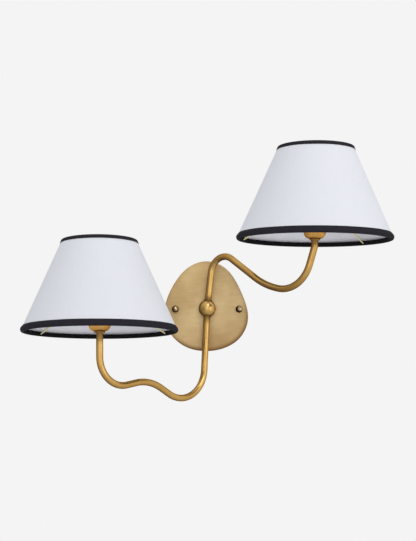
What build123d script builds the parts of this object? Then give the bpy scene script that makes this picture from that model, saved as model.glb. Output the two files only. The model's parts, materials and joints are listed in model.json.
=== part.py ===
"""Wall light with two curved arms, a turned ball at the middle and two cone shades.

Millimetres. X runs along the wall, +Z is up, and the wall is the plane y = 0 with the light
on its -Y side. The origin is the centre of the mounting bracket, level with the ball.
"""

from build123d import *
import math
import os

os.makedirs("parts", exist_ok=True)

# ---------------------------------------------------------------- driving dimensions
# Back plate: a shallow pan with a hand-cut, rounded-triangle outline.
PLATE_DEPTH = 14.0
PLATE_WALL = 1.5
PLATE_EDGE = 1.2
PLATE_FLATS = 40
PLATE_OUTLINE = [  # (x, z), once round from the top; cut by hand, so the two sides differ
    (0.0, 67.1),
    (27.0, 56.1),
    (42.8, 34.1),
    (52.5, 12.0),
    (57.1, -13.0),
    (47.4, -37.8),
    (25.6, -53.1),
    (0.0, -58.0),
    (-25.9, -53.8),
    (-48.0, -38.3),
    (-59.1, -13.5),
    (-56.7, 12.9),
    (-45.7, 36.5),
    (-27.6, 57.4),
]
STUD_SPACING = 88.9
STUD_HOLE_R = 2.6

# Mounting bracket: a steel cross that is screwed to the wall box.
BRACKET_THICK = 1.8
BRACKET_TALL = 104.0
BRACKET_BAR = 20.0
BRACKET_WIDE = 101.0
BRACKET_CROSS_BAR = 14.0
BRACKET_HUB_R = 19.0
SLOT_SPACING = 79.4
SLOT_LENGTH = 14.3
SLOT_R = 2.4
BRACKET_EYE_R = 6.5
GROUND_SCREW_Z = -24.0
GROUND_SCREW_WIDE = 6.4
GROUND_SCREW_HEAD = 2.0
GROUND_SCREW_SLOT = 1.0
GROUND_WASHER_R = 4.6
GROUND_WASHER_THICK = 0.8

# Fasteners of the back plate.
STUD_R = 2.05
STUD_LENGTH = 19.0
JAM_NUT_WIDE = 8.7
JAM_NUT_THICK = 2.4
CAP_NUT_R = 4.75
CAP_NUT_FOOT_R = 4.1
CAP_NUT_FOOT = 0.9
CAP_NUT_SKIRT = 3.4
CAP_NUT_BANDS = 5

# Middle: the ball stands off the plate on a short post.
BALL_OUT = 30.0
BALL_R = 12.0
BALL_BANDS = 9
BALL_BACK_FLAT = 10.5
BALL_ARM_FLAT = 10.5
POST_R = 7.0
POST_NECK_R = 5.9
POST_FOOT = 1.6
POST_SHOULDER = 1.0
NIPPLE_R = 4.8
NIPPLE_BORE_R = 3.4
NIPPLE_BACK = 3.6
NIPPLE_SEAT = 5.5
NUT_WIDE = 14.3
NUT_THICK = 2.6
WASHER_R = 8.5
WASHER_THICK = 1.0
COLLAR_R = 5.8
COLLAR_THICK = 1.4

# Arms: nine millimetre tube, each bent in one upright plane through the ball.
TUBE_R = 4.5
TUBE_SEAT = 4.0
HEAD_SIDE = 137.6
HEAD_OUT = 149.0
ARM_REACH = math.hypot(HEAD_SIDE, HEAD_OUT - BALL_OUT)
LOWER_HEAD_Z = -40.0
UPPER_HEAD_Z = 78.3
# The arms were bent by hand: each head leans a little, in degrees about X and about Y. The
# first tips its top away from the wall, and the second tips it to the right.
LOWER_LEAN = (-1.9, -0.3)
UPPER_LEAN = (2.2, 0.5)
# (reach, height) of each bend's corner, and its radius.
LOWER_BENDS = [(9.5, -151.0, 41.4), (101.2, -99.4, 62.0), (ARM_REACH, -115.0, 36.0)]
UPPER_BENDS = [(12.6, 86.4, 23.5), (100.9, 25.6, 110.0), (160.6, 11.3, 43.0), (ARM_REACH, 70.5, 22.0)]

# Lamp heads: heights are above the bottom plane of the shade.
HEAD_NIPPLE_R = 3.5
HEAD_NIPPLE_BORE_R = 2.4
HEAD_NIPPLE_DOWN = 9.0
HEAD_NIPPLE_UP = 8.0
SEAT_R = 7.0
SEAT_THICK = 2.0
CUP_WALL = 0.9
CUP_FLOOR_R = 8.4
CUP_OUTLINE = [(8.6, 2.0), (11.2, 3.2), (13.6, 6.4), (14.6, 11.0), (15.8, 29.0)]
HOLDER_R = 12.0
HOLDER_FOOT_Z = 9.0
HOLDER_FLANGE_R = 17.0
HOLDER_THREAD_R = 13.9
HOLDER_FLANGE_Z = 36.0
FITTER_Z = 38.0
FITTER_THICK = 1.4
HOLDER_TOP = 50.0
SHELL_R = 6.9
SHELL_WALL = 0.5
SHELL_FLOOR = 31.0
CONTACT_SPACE = 3.0
CONTACT_THICK = 1.0
TIP_R = 2.4
TIP_DROP = 0.8
LOCK_RING_R = 18.0
LOCK_RING_FLATS = 10
LOCK_RING_THICK = 5.0

# Bulb: a small round bulb on a 12 mm screw base.
BULB_R = 22.0
BULB_BANDS = 7
BULB_BASE_R = 5.95
BULB_NECK_R = 6.6
BULB_NECK_ANGLE = -58.0
BULB_GLASS_LOW = HOLDER_TOP + 0.3
BULB_TIP_TALL = 3.4
BULB_TOP = 101.0

# Shade: about 4 inch top, 8 inch bottom and 5 inch slant, with padded bound edges.
SHADE_BOTTOM_R = 101.0
SHADE_TOP_R = 48.0
SHADE_SLANT = 129.5
SHADE_TALL = math.sqrt(SHADE_SLANT**2 - (SHADE_BOTTOM_R - SHADE_TOP_R) ** 2)
SHADE_SLOPE = (SHADE_BOTTOM_R - SHADE_TOP_R) / SHADE_TALL
SHADE_WALL = 0.8
FRAME_WIRE = 2.2
EDGE_GAP = 0.6
BOTTOM_TRIM_TALL = 8.2
BOTTOM_FOLD_TALL = 5.8
TOP_TRIM_TALL = 4.4
TOP_FOLD_TALL = 4.0
TRIM_PROUD = 0.6
TRIM_EDGE_PROUD = 0.2
TRIM_FOLD = 0.6
FITTER_R = 19.0
FITTER_BORE_R = 14.3
SPIDER_R = 1.1
SPIDER_COUNT = 3
SPIDER_BENDS = [(7.6, 0.0), (14.5, 12.0)]  # (height, distance in from the shade)
SPIDER_BEND_R = [2.5, 9.0]
SPIDER_TURN = {"left": 30.0, "right": 42.0}  # each wire stands at the middle of a flat
GLUE_GAP = 0.2

# Round pieces are turned with flats: the more flats, the larger the piece.
FEW = 12
SOME = 24
MANY = 30
WIRE_FLATS = 4


# ---------------------------------------------------------------- shaping helpers
def flat_turning(profile, sides):
    """A turned piece with many flat sides.

    profile is a closed loop of (radius, height) points; sides is the number of flats.
    """

    def corner(radius, height, step):
        turn = 2 * math.pi * (step % sides) / sides
        return Vector(radius * math.cos(turn), radius * math.sin(turn), height)

    faces = []
    for (r1, z1), (r2, z2) in zip(profile, profile[1:] + profile[:1]):
        if r1 == 0 and r2 == 0:
            continue
        for step in range(sides):
            if r1 == 0:
                points = [corner(0, z1, 0), corner(r2, z2, step + 1), corner(r2, z2, step)]
            elif r2 == 0:
                points = [corner(r1, z1, step), corner(r1, z1, step + 1), corner(0, z2, 0)]
            else:
                points = [
                    corner(r1, z1, step),
                    corner(r1, z1, step + 1),
                    corner(r2, z2, step + 1),
                    corner(r2, z2, step),
                ]
            faces.append(Face(Wire.make_polygon(points, close=True)))
    return Solid(Shell(faces))


def rod(radius, low, high):
    """A straight round bar or drill along Z."""
    return flat_turning([(0, low), (radius, low), (radius, high), (0, high)], FEW)


def sleeve(bore_r, radius, low, high, sides=FEW):
    """A straight tube, washer or ring along Z."""
    return flat_turning([(bore_r, low), (radius, low), (radius, high), (bore_r, high)], sides)


def dome_points(radius, start, end, bands):
    """Points of a circular arc about the origin, from angle start to angle end in degrees."""
    step = (end - start) / bands
    angles = [math.radians(start + step * k) for k in range(bands + 1)]
    return [(radius * math.cos(a), radius * math.sin(a)) for a in angles]


def tube(path, section_sides, radius):
    """A bent tube or wire: a many-sided section swept along straight runs and arcs."""
    with BuildPart() as piece:
        with BuildSketch(Plane(path @ 0, z_dir=path % 0)):
            RegularPolygon(radius, section_sides)
        sweep(path=path)
    return piece.part


def facing_wall(shape, x=0.0, y=0.0, z=0.0):
    """Turns a piece made along +Z to point out of the wall, along -Y."""
    return Pos(x, y, z) * Rot(90, 0, 0) * shape


def write(name, shape):
    shape.label = name
    export_step(shape, "parts/" + name + ".step")


# ---------------------------------------------------------------- wall side
def plate_outline(inset):
    """The plate's outline, drawn in by inset: flats along one smooth closed curve."""
    widest = max(x for x, z in PLATE_OUTLINE)
    share = 1 - inset / widest
    curve = Spline(*[(x * share, z * share) for x, z in PLATE_OUTLINE], periodic=True)
    with BuildSketch(Plane.XZ) as outline:
        with BuildLine():
            Polyline(*[curve @ (k / PLATE_FLATS) for k in range(PLATE_FLATS)], close=True)
        make_face()
    return outline.sketch


def back_plate():
    """Shallow pan, open to the wall, with a bevelled front edge and three holes."""
    with BuildPart() as pan:
        add(extrude(plate_outline(0), amount=PLATE_DEPTH))
        front_edges = pan.faces().sort_by(Axis.Y)[0].edges()
        chamfer(front_edges, PLATE_EDGE)
        add(extrude(plate_outline(PLATE_WALL), amount=PLATE_DEPTH - PLATE_WALL), mode=Mode.SUBTRACT)
    plate = pan.part - facing_wall(rod(NIPPLE_R, 0, 2 * PLATE_DEPTH))
    for side in (-1, 1):
        plate -= facing_wall(rod(STUD_HOLE_R, 0, 2 * PLATE_DEPTH), x=side * STUD_SPACING / 2)
    return plate


def mounting_bracket():
    """Steel cross with two long screw slots, two tapped stud holes and a wiring eye."""
    with BuildPart() as cross:
        with BuildSketch(Plane.XZ):
            Rectangle(BRACKET_BAR, BRACKET_TALL)
            Rectangle(BRACKET_WIDE, BRACKET_CROSS_BAR)
            RegularPolygon(BRACKET_HUB_R, FEW)
            RegularPolygon(BRACKET_EYE_R, FEW, mode=Mode.SUBTRACT)
            with Locations((0, SLOT_SPACING / 2), (0, -SLOT_SPACING / 2)):
                SlotOverall(SLOT_LENGTH, 2 * SLOT_R, rotation=90, mode=Mode.SUBTRACT)
            with Locations((STUD_SPACING / 2, 0), (-STUD_SPACING / 2, 0), (0, GROUND_SCREW_Z)):
                RegularPolygon(STUD_R, FEW, mode=Mode.SUBTRACT)
        extrude(amount=BRACKET_THICK)
    return cross.part


def mounting_studs():
    """Two headless studs, screwed into the bracket from behind."""
    stud = rod(STUD_R, 0, STUD_LENGTH)
    return Compound([facing_wall(stud, x=side * STUD_SPACING / 2) for side in (-1, 1)])


def hex_nut(across, thick, bore_r):
    """A plain six-sided nut standing on z = 0."""
    with BuildPart() as nut:
        with BuildSketch():
            RegularPolygon(across / 2, 6, major_radius=False)
            RegularPolygon(bore_r, FEW, mode=Mode.SUBTRACT)
        extrude(amount=thick)
    return nut.part


def stud_jam_nuts():
    nut = hex_nut(JAM_NUT_WIDE, JAM_NUT_THICK, STUD_R)
    sides = (-1, 1)
    return Compound([facing_wall(nut, x=s * STUD_SPACING / 2, y=-BRACKET_THICK) for s in sides])


def cap_nuts():
    """Two ball nuts that hold the plate on its studs."""
    dome = [(r, CAP_NUT_SKIRT + z) for r, z in dome_points(CAP_NUT_R, 0, 90, CAP_NUT_BANDS)]
    dome[-1] = (0, dome[-1][1])
    base = [(0, 0), (CAP_NUT_FOOT_R, 0), (CAP_NUT_R, CAP_NUT_FOOT)]
    nut = flat_turning(base + dome, FEW)
    nut -= rod(STUD_R, 0, STUD_LENGTH - PLATE_DEPTH)
    sides = (-1, 1)
    return Compound([facing_wall(nut, x=s * STUD_SPACING / 2, y=-PLATE_DEPTH) for s in sides])


def ground_screw():
    """Hexagon-headed earthing screw with a washer face, in the lower bar of the bracket."""
    with BuildPart() as screw:
        add(rod(STUD_R, -BRACKET_THICK, 0))
        add(rod(GROUND_WASHER_R, 0, GROUND_WASHER_THICK))
        with BuildSketch(Plane.XY.offset(GROUND_WASHER_THICK)):
            RegularPolygon(GROUND_SCREW_WIDE / 2, 6, major_radius=False)
            Rectangle(2 * GROUND_SCREW_WIDE, GROUND_SCREW_SLOT, mode=Mode.SUBTRACT)
        extrude(amount=GROUND_SCREW_HEAD)
    return facing_wall(screw.part, y=-BRACKET_THICK, z=GROUND_SCREW_Z)


def center_nipple():
    """Hollow threaded tube that ties the ball and the plate together and carries the wires."""
    return facing_wall(sleeve(NIPPLE_BORE_R, NIPPLE_R, NIPPLE_BACK, BALL_OUT - NIPPLE_SEAT))


def nipple_washer():
    high = PLATE_DEPTH - PLATE_WALL
    return facing_wall(sleeve(NIPPLE_R, WASHER_R, high - WASHER_THICK, high))


def nipple_nut():
    nut = hex_nut(NUT_WIDE, NUT_THICK, NIPPLE_R)
    return facing_wall(nut, y=-(PLATE_DEPTH - PLATE_WALL - WASHER_THICK - NUT_THICK))


def ball_post():
    """Short waisted collar between the plate and the ball."""
    low, high = PLATE_DEPTH, BALL_OUT - BALL_BACK_FLAT
    waist = low + POST_FOOT
    return facing_wall(
        flat_turning(
            [
                (NIPPLE_R, low),
                (POST_R, low),
                (POST_R, waist),
                (POST_NECK_R, waist + POST_SHOULDER),
                (POST_NECK_R, high),
                (NIPPLE_R, high),
            ],
            FEW,
        )
    )


def center_ball():
    """The turned ball: flats and bores for the two arms, and one at the back for the nipple."""
    half_angle = 90 - 90 / BALL_BANDS
    band = dome_points(BALL_R, -half_angle, half_angle, BALL_BANDS)
    ball = flat_turning([(0, band[0][1])] + band + [(0, band[-1][1])], SOME)
    far = 4 * BALL_R
    ball -= Pos(0, BALL_BACK_FLAT + far / 2, 0) * Box(far, far, far)
    ball -= facing_wall(rod(NIPPLE_BORE_R, -far, 0))
    ball -= facing_wall(rod(NIPPLE_R, -far, -NIPPLE_SEAT))
    for side, bends in ((-1, LOWER_BENDS), (1, UPPER_BENDS)):
        along = arm_plane(side, Vector(0, 0, 0), bends)
        ball -= along * Pos(0, 0, BALL_ARM_FLAT + far / 2) * Box(far, far, far)
        ball -= along * rod(TUBE_R, TUBE_SEAT, far)
        ball -= along * rod(NIPPLE_BORE_R, -1, far)
    return Pos(0, -BALL_OUT, 0) * ball


# ---------------------------------------------------------------- arms
def arm_point(side, reach, height):
    """A point of an arm's upright plane; reach is level, measured out from the ball."""
    share = reach / ARM_REACH
    return Vector(side * HEAD_SIDE * share, -BALL_OUT - (HEAD_OUT - BALL_OUT) * share, height)


def arm_plane(side, origin, bends):
    """The plane across an arm where it leaves the ball, with its normal along the tube."""
    leaving = arm_point(side, bends[0][0], bends[0][1]) - arm_point(side, 0, 0)
    return Plane(origin, z_dir=leaving)


def head_place(side, head_z, lean):
    """Moves a piece from the shade's own upright axis to the end of its arm."""
    out_lean, side_lean = lean
    return Pos(side * HEAD_SIDE, -HEAD_OUT, head_z) * Rot(out_lean, side_lean, 0)


def arm(side, bends, head_z, lean):
    """One arm: from its seat in the ball to the underside of its leaning lamp head."""
    corners = [arm_point(side, reach, height) for reach, height, radius in bends]
    place = head_place(side, head_z, lean)
    end = place.position
    corners[-1] = (place * Pos(0, 0, bends[-1][1] - head_z)).position
    ball_middle = arm_point(side, 0, 0)
    start = ball_middle + (corners[0] - ball_middle).normalized() * TUBE_SEAT
    path = FilletPolyline(start, *corners, end, radius=[radius for reach, height, radius in bends])
    return tube(path, FEW, TUBE_R) - place * rod(HEAD_NIPPLE_R, -HEAD_NIPPLE_DOWN, 0)


def arm_collars():
    """Two thin rings that cover the joints of the arms with the ball."""
    ring = sleeve(TUBE_R, COLLAR_R, BALL_ARM_FLAT, BALL_ARM_FLAT + COLLAR_THICK)
    rings = []
    for side, bends in ((-1, LOWER_BENDS), (1, UPPER_BENDS)):
        across = arm_plane(side, arm_point(side, 0, 0), bends)
        rings.append(across * ring)
    return Compound(rings)


# ---------------------------------------------------------------- lamp head
def head_nipple():
    """Hollow threaded tube that pins the cup and the lamp holder to the arm."""
    return sleeve(HEAD_NIPPLE_BORE_R, HEAD_NIPPLE_R, -HEAD_NIPPLE_DOWN, HEAD_NIPPLE_UP)


def cup_seat():
    return sleeve(HEAD_NIPPLE_R, SEAT_R, 0, SEAT_THICK)


def socket_cup():
    """Spun brass cup with a rounded foot."""
    floor = SEAT_THICK + CUP_WALL
    rim_r, rim_z = CUP_OUTLINE[-1]
    outside = [(HEAD_NIPPLE_R, SEAT_THICK)] + CUP_OUTLINE
    inside = [(rim_r - CUP_WALL, rim_z)]
    inside += [(r - CUP_WALL, z + CUP_WALL / 2) for r, z in reversed(CUP_OUTLINE[2:-1])]
    return flat_turning(outside + inside + [(CUP_FLOOR_R, floor), (HEAD_NIPPLE_R, floor)], SOME)


def lamp_holder():
    """Moulded body: it fills the cup, and carries the thread and shoulder for the shade."""
    floor = SEAT_THICK + CUP_WALL
    rim_r, rim_z = CUP_OUTLINE[-1]
    socket_floor = SHELL_FLOOR - CONTACT_SPACE
    return flat_turning(
        [
            (HEAD_NIPPLE_R, floor),
            (CUP_FLOOR_R, floor),
            (HOLDER_R, HOLDER_FOOT_Z),
            (HOLDER_R, rim_z),
            (rim_r, rim_z),
            (rim_r, HOLDER_FLANGE_Z),
            (HOLDER_FLANGE_R, HOLDER_FLANGE_Z),
            (HOLDER_FLANGE_R, FITTER_Z),
            (HOLDER_THREAD_R, FITTER_Z),
            (HOLDER_THREAD_R, HOLDER_TOP),
            (SHELL_R, HOLDER_TOP),
            (SHELL_R, socket_floor),
            (HEAD_NIPPLE_R, socket_floor),
        ],
        SOME,
    )


def screw_shell():
    """Brass sleeve that the bulb's base screws into."""
    return sleeve(SHELL_R - SHELL_WALL, SHELL_R, SHELL_FLOOR, HOLDER_TOP - SHELL_WALL)


def center_contact():
    """Contact disc and its stud, under the bulb's tip."""
    low = SHELL_FLOOR - CONTACT_SPACE
    disc, top = low + CONTACT_THICK, SHELL_FLOOR - TIP_DROP
    profile = [(0, low), (SHELL_R, low), (SHELL_R, disc), (TIP_R, disc), (TIP_R, top), (0, top)]
    return flat_turning(profile, FEW)


def lock_ring():
    """Threaded ring with ten grip flats that clamps the shade down."""
    with BuildPart() as ring:
        with BuildSketch(Plane.XY.offset(FITTER_Z + FITTER_THICK)):
            RegularPolygon(LOCK_RING_R, LOCK_RING_FLATS)
            RegularPolygon(HOLDER_THREAD_R, SOME, mode=Mode.SUBTRACT)
        extrude(amount=LOCK_RING_THICK)
    return ring.part


# ---------------------------------------------------------------- bulb
def bulb_globe():
    """Glass globe, closed on to its screw base."""
    middle = BULB_TOP - BULB_R
    globe = [(r, middle + z) for r, z in dome_points(BULB_R, BULB_NECK_ANGLE, 90, BULB_BANDS)]
    globe[-1] = (0, BULB_TOP)
    return flat_turning([(0, BULB_GLASS_LOW), (BULB_NECK_R, BULB_GLASS_LOW)] + globe, SOME)


def bulb_base():
    """Screw base with a tapered insulator and a tip contact."""
    low = SHELL_FLOOR - TIP_DROP
    return flat_turning(
        [
            (0, low),
            (TIP_R, low),
            (BULB_BASE_R, low + BULB_TIP_TALL),
            (BULB_BASE_R, BULB_GLASS_LOW),
            (0, BULB_GLASS_LOW),
        ],
        FEW,
    )


# ---------------------------------------------------------------- shade
def on_shade(height, inwards=0.0):
    """A (radius, height) point of the cone, moved level towards the axis by inwards."""
    return (SHADE_BOTTOM_R - SHADE_SLOPE * height - inwards, height)


def shade_shell():
    """Stiff cloth-covered cone."""
    low, top = EDGE_GAP, SHADE_TALL - EDGE_GAP
    return flat_turning(
        [on_shade(low), on_shade(top), on_shade(top, SHADE_WALL), on_shade(low, SHADE_WALL)],
        MANY,
    )


def frame_wire(low):
    """One of the two wire hoops that the cone is glued to."""
    inner, outer = SHADE_WALL + FRAME_WIRE, SHADE_WALL
    top = low + FRAME_WIRE
    return flat_turning(
        [on_shade(low, outer), on_shade(top, outer), on_shade(top, inner), on_shade(low, inner)],
        MANY,
    )


def shade_trim(edge_z, tall, fold_tall, up):
    """Padded binding folded over an edge: a bulging strip outside and a flat one inside."""
    inner = SHADE_WALL + FRAME_WIRE + 2 * GLUE_GAP
    section = [
        on_shade(edge_z + up * EDGE_GAP),
        on_shade(edge_z + up * EDGE_GAP, inner),
        on_shade(edge_z + up * fold_tall, inner),
        on_shade(edge_z + up * fold_tall, inner + TRIM_FOLD),
        on_shade(edge_z, inner + TRIM_FOLD),
        on_shade(edge_z, -TRIM_EDGE_PROUD),
        on_shade(edge_z + up * tall / 2, -TRIM_PROUD),
        on_shade(edge_z + up * tall),
    ]
    return flat_turning(section, MANY)


def shade_fitter():
    """Flat ring that sits on the lamp holder's shoulder."""
    return sleeve(FITTER_BORE_R, FITTER_R, FITTER_Z, FITTER_Z + FITTER_THICK, SOME)


def shade_spider(turn):
    """Three bent wires, welded to the bottom hoop and to the fitter ring."""
    middle = SHADE_WALL + SPIDER_R + GLUE_GAP
    corners = [on_shade(EDGE_GAP + FRAME_WIRE, middle)]
    corners += [on_shade(height, middle + inwards) for height, inwards in SPIDER_BENDS]
    at_flat = math.cos(math.pi / MANY)
    corners = [(r * at_flat, z) for r, z in corners]
    corners.append((FITTER_R, FITTER_Z + FITTER_THICK / 2))
    path = FilletPolyline(*[(r, 0, z) for r, z in corners], radius=SPIDER_BEND_R)
    wire = tube(path, WIRE_FLATS, SPIDER_R)
    return Compound([Rot(0, 0, turn + 360 * k / SPIDER_COUNT) * wire for k in range(SPIDER_COUNT)])


# ---------------------------------------------------------------- write the parts
def write_head(name, place):
    """All pieces of one lamp head, moved from the shade's own axis to the arm's end."""
    pieces = {
        "cup_seat": cup_seat(),
        "head_nipple": head_nipple(),
        "socket_cup": socket_cup(),
        "lamp_holder": lamp_holder(),
        "screw_shell": screw_shell(),
        "center_contact": center_contact(),
        "lock_ring": lock_ring(),
        "bulb_globe": bulb_globe(),
        "bulb_base": bulb_base(),
        "shade_shell": shade_shell(),
        "shade_bottom_hoop": frame_wire(EDGE_GAP),
        "shade_top_hoop": frame_wire(SHADE_TALL - EDGE_GAP - FRAME_WIRE),
        "shade_bottom_trim": shade_trim(0.0, BOTTOM_TRIM_TALL, BOTTOM_FOLD_TALL, 1),
        "shade_top_trim": shade_trim(SHADE_TALL, TOP_TRIM_TALL, TOP_FOLD_TALL, -1),
        "shade_fitter": shade_fitter(),
        "shade_spider": shade_spider(SPIDER_TURN[name]),
    }
    for piece, shape in pieces.items():
        write(name + "_" + piece, place * shape)


def main():
    write("back_plate", back_plate())
    write("mounting_bracket", mounting_bracket())
    write("mounting_studs", mounting_studs())
    write("stud_jam_nuts", stud_jam_nuts())
    write("cap_nuts", cap_nuts())
    write("ground_screw", ground_screw())
    write("center_nipple", center_nipple())
    write("nipple_washer", nipple_washer())
    write("nipple_nut", nipple_nut())
    write("ball_post", ball_post())
    write("center_ball", center_ball())
    write("lower_arm", arm(-1, LOWER_BENDS, LOWER_HEAD_Z, LOWER_LEAN))
    write("upper_arm", arm(1, UPPER_BENDS, UPPER_HEAD_Z, UPPER_LEAN))
    write("arm_collars", arm_collars())
    write_head("left", head_place(-1, LOWER_HEAD_Z, LOWER_LEAN))
    write_head("right", head_place(1, UPPER_HEAD_Z, UPPER_LEAN))


main()
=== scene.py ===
"""Looks of the double arm wall sconce: brass plate, ball and tube arms, two cloth shades.

Lengths are written in millimetres and multiplied by MM where a mesh is made. The wall is the
plane y = 0 with the light on its -Y side, and z is up.
"""

import json
import math
from contextlib import contextmanager

import bmesh
import bpy
import numpy as np
from mathutils import Matrix, Vector
from mathutils.geometry import tessellate_polygon
from mathutils.kdtree import KDTree
from mathutils.noise import noise as smooth_noise


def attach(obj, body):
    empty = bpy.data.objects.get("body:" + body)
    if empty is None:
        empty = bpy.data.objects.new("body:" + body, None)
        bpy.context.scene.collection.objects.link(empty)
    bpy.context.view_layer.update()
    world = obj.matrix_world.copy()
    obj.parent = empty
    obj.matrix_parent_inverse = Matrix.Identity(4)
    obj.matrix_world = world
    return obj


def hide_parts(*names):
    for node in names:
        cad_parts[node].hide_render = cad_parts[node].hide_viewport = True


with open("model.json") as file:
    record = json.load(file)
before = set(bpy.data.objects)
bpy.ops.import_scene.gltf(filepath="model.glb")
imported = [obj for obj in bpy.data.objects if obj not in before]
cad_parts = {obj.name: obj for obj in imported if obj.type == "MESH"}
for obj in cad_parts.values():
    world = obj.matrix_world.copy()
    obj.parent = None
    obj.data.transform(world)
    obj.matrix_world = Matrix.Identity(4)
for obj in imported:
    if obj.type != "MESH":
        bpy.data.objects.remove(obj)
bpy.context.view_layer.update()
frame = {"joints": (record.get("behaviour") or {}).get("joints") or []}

MM = 0.001
TINY = 1e-6

# ---------------------------------------------------------------- sizes, in millimetres
SIDES = ("left", "right")
JOINTS = {joint["name"]: joint for joint in frame["joints"]}
HEAD_AT = {side: Vector(JOINTS[side + "_shade_turn"]["pos_m"]) / MM for side in SIDES}
HEAD_UP = {side: Vector(JOINTS[side + "_shade_turn"]["axis"]).normalized() for side in SIDES}
FACING_WALL = Matrix.Rotation(math.radians(90), 4, "X")  # turns +Z to point out of the wall
PAINTED_LIGHT_SIDE = Vector((0.42, -0.88, 0.2)).normalized()  # the side towards the lamps, left without painted shade

BALL_OUT = 30.0
BALL_AT = Vector((0.0, -BALL_OUT, 0.0))
BALL_R = 11.8
BALL_FLAT = 10.5  # from the ball's middle to each flat

# (x, z) points of the hand-cut outline, clockwise from the top
PLATE_OUTLINE = [
    (0.0, 67.1), (27.0, 56.1), (42.8, 34.1), (52.5, 12.0), (57.1, -13.0),
    (47.4, -37.8), (25.6, -53.1), (0.0, -58.0), (-25.9, -53.8), (-48.0, -38.3),
    (-59.1, -13.5), (-56.7, 12.9), (-45.7, 36.5), (-27.6, 57.4),
]
PLATE_DEPTH = 14.0
PLATE_WALL = 1.5
PLATE_EDGE = 1.2  # radius of the rolled front edge
STUD_X = 88.9 / 2
STUD_R = 2.05
STUD_HOLE_R = 2.6
NIPPLE_R = 4.8
BRACKET_THICK = 1.8
GROUND_Z = -24.0

TUBE_R = 4.5
TUBE_BORE_R = 3.5
TUBE_SEAT = 4.0  # where a tube starts, out from the ball's middle
# (reach, height, bend radius) of each arm's corners from the ball, in its own upright plane.
# The last corner's reach follows from the head's leaning axis.
BENDS = {
    "left": [(9.5, -151.0, 41.4), (101.2, -99.4, 62.0), (None, -115.0, 36.0)],
    "right": [(12.6, 86.4, 23.5), (100.9, 25.6, 110.0), (160.6, 11.3, 43.0), (None, 70.5, 22.0)],
}

HEAD_BORE_R = 3.5
CUP_FOOT_Z = 2.0
CUP_FOOT_R = 8.2
CUP_RIM_R, CUP_RIM_Z = 15.8, 29.0
CUP_WALL = 0.9
HOLDER_TOP = 50.0
HOLDER_THREAD_R = 13.9
LOCK_RING_R = 17.0
SHELL_R = 6.9
SHELL_FLOOR = 31.0
BULB_THREAD_R = 5.95

SHADE_BOTTOM_R = 101.0
SHADE_TOP_R = 48.0
SHADE_SLANT = 129.5
SHADE_TALL = math.sqrt(SHADE_SLANT**2 - (SHADE_BOTTOM_R - SHADE_TOP_R) ** 2)
SHADE_SLOPE = (SHADE_BOTTOM_R - SHADE_TOP_R) / SHADE_TALL
SHADE_WALL = 0.8  # cloth and liner together
CLOTH_THICK = 0.45
CLOTH_EDGE = 2.6  # how far inside a binding the cloth and liner end
HOOP_R = 1.1
HOOP_GAP = 0.6
WIRE_R = 1.1
WIRE_TURN = {"left": 30.0, "right": 42.0}
FITTER_Z = 38.0
FITTER_THICK = 1.4
FITTER_R = 19.0
FITTER_BORE_R = 14.3


# ---------------------------------------------------------------- node helpers
def put(tree, kind, values=None, **settings):
    """Adds a node, with settings for its properties, then values or links for its sockets."""
    made = tree.nodes.new(kind)
    for name, value in settings.items():
        setattr(made, name, value)
    for name, value in (values or {}).items():
        if isinstance(value, bpy.types.NodeSocket):
            tree.links.new(value, made.inputs[name])
        else:
            made.inputs[name].default_value = value
    return made


def sum_up(tree, operation, *values, clamp=False):
    """A Math node's result."""
    sockets = dict(enumerate(values))
    return put(tree, "ShaderNodeMath", sockets, operation=operation, use_clamp=clamp).outputs[0]


def blend(tree, share, first, second):
    """A number between first and second."""
    return put(tree, "ShaderNodeMix", {0: share, 2: first, 3: second}).outputs[0]


def blend_colours(tree, share, first, second):
    """A colour between first and second."""
    return put(tree, "ShaderNodeMix", {0: share, 6: first, 7: second}, data_type="RGBA").outputs[2]


def ramp(tree, value, low, high):
    """A smooth step of value between low and high."""
    sockets = {"Value": value, "From Min": low, "From Max": high}
    return put(tree, "ShaderNodeMapRange", sockets, interpolation_type="SMOOTHSTEP").outputs[0]


def stretch(tree, place, factors):
    """A vector multiplied by a factor for each axis."""
    return put(tree, "ShaderNodeVectorMath", {0: place, 1: factors}, operation="MULTIPLY").outputs[0]


def clouds(tree, place, scale, detail=2.0):
    """Noise between 0 and 1."""
    sockets = {"Vector": place, "Scale": scale, "Detail": detail}
    return put(tree, "ShaderNodeTexNoise", sockets).outputs[0]


def attribute(tree, name):
    """A number written on the mesh."""
    return put(tree, "ShaderNodeAttribute", attribute_name=name).outputs["Fac"]


def object_place(tree):
    return put(tree, "ShaderNodeTexCoord").outputs["Object"]


def shader_group(name, inputs, outputs):
    """An empty shader node group; inputs map a socket's name to its kind and default."""
    tree = bpy.data.node_groups.new(name, "ShaderNodeTree")
    for label, (kind, default) in inputs.items():
        socket = tree.interface.new_socket(label, in_out="INPUT", socket_type="NodeSocket" + kind)
        if default is not None:
            socket.default_value = default
    for label, kind in outputs.items():
        tree.interface.new_socket(label, in_out="OUTPUT", socket_type="NodeSocket" + kind)
    start, end = tree.nodes.new("NodeGroupInput"), tree.nodes.new("NodeGroupOutput")
    return tree, start.outputs, end.inputs


def use_group(tree, group, values):
    """The outputs of a shader group placed in a material with its own values."""
    return put(tree, "ShaderNodeGroup", values, node_tree=group).outputs


def material(name):
    """A new material with its node tree and Principled shader."""
    made = bpy.data.materials.new(name)
    made.use_nodes = True
    return made, made.node_tree, made.node_tree.nodes["Principled BSDF"]


def finish_surface(tree, shader, colour, height, bump, roughness=None):
    """Feeds the shader; bump is the height of the relief in millimetres."""
    tree.links.new(colour, shader.inputs["Base Color"])
    if roughness:
        tree.links.new(roughness, shader.inputs["Roughness"])
    relief = put(tree, "ShaderNodeBump", {"Height": height, "Distance": bump * MM})
    tree.links.new(relief.outputs[0], shader.inputs["Normal"])


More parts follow.
